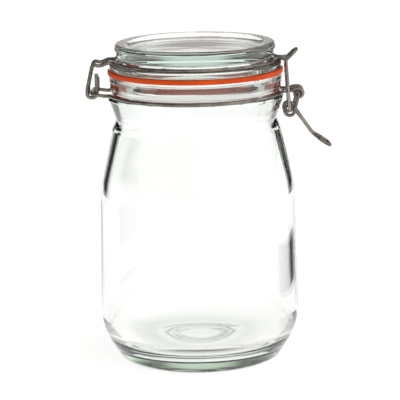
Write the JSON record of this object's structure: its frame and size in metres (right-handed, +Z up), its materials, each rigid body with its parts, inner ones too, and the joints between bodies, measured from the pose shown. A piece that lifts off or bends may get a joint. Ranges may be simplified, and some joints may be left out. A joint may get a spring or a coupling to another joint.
{
  "type": "airtight glass jar",
  "caption": "Clear glass preserving jar with a hinged glass lid, rubber gasket and wire clasp with an over-centre lever.",
  "frame": {"origin": "centre of the base on the jar's axis, in the plane of the ring it stands on", "axes": "+Z up along the jar's axis, +X from the hinge to the latch"},
  "size_m": [0.1342, 0.1108, 0.1754],
  "materials": {
    "glass": "clear pressed glass with a faint green tint",
    "lid_glass": "clear pressed glass",
    "rubber": "matt orange natural rubber",
    "wire": "drawn galvanised steel wire"
  },
  "bodies": {
    "jar": {"jar_body": "glass", "neck_wire": "wire"},
    "lid": {"glass_lid": "lid_glass", "gasket": "rubber", "lid_wire": "wire"},
    "latch_lever": {"lever": "wire"},
    "latch_link": {"link": "wire"}
  },
  "joints": [
    {"name": "lid_hinge", "type": "hinge", "parent": "jar", "child": "lid", "pos_m": [-0.0564, 0, 0.1489], "axis": [0, -1, 0], "range_deg": [0, 115]},
    {"name": "lever_pivot", "type": "hinge", "parent": "jar", "child": "latch_lever", "pos_m": [0.0562, 0, 0.14665], "axis": [0, -1, 0], "range_deg": [0, 120]},
    {"name": "link_pivot", "type": "hinge", "parent": "latch_lever", "child": "latch_link", "pos_m": [0.0511, 0, 0.1378], "axis": [0, -1, 0], "range_deg": [-130, 0]}
  ],
  "couplings": [
    {"joint": "link_pivot", "follows": "lever_pivot", "ratio": -1.05}
  ]
}
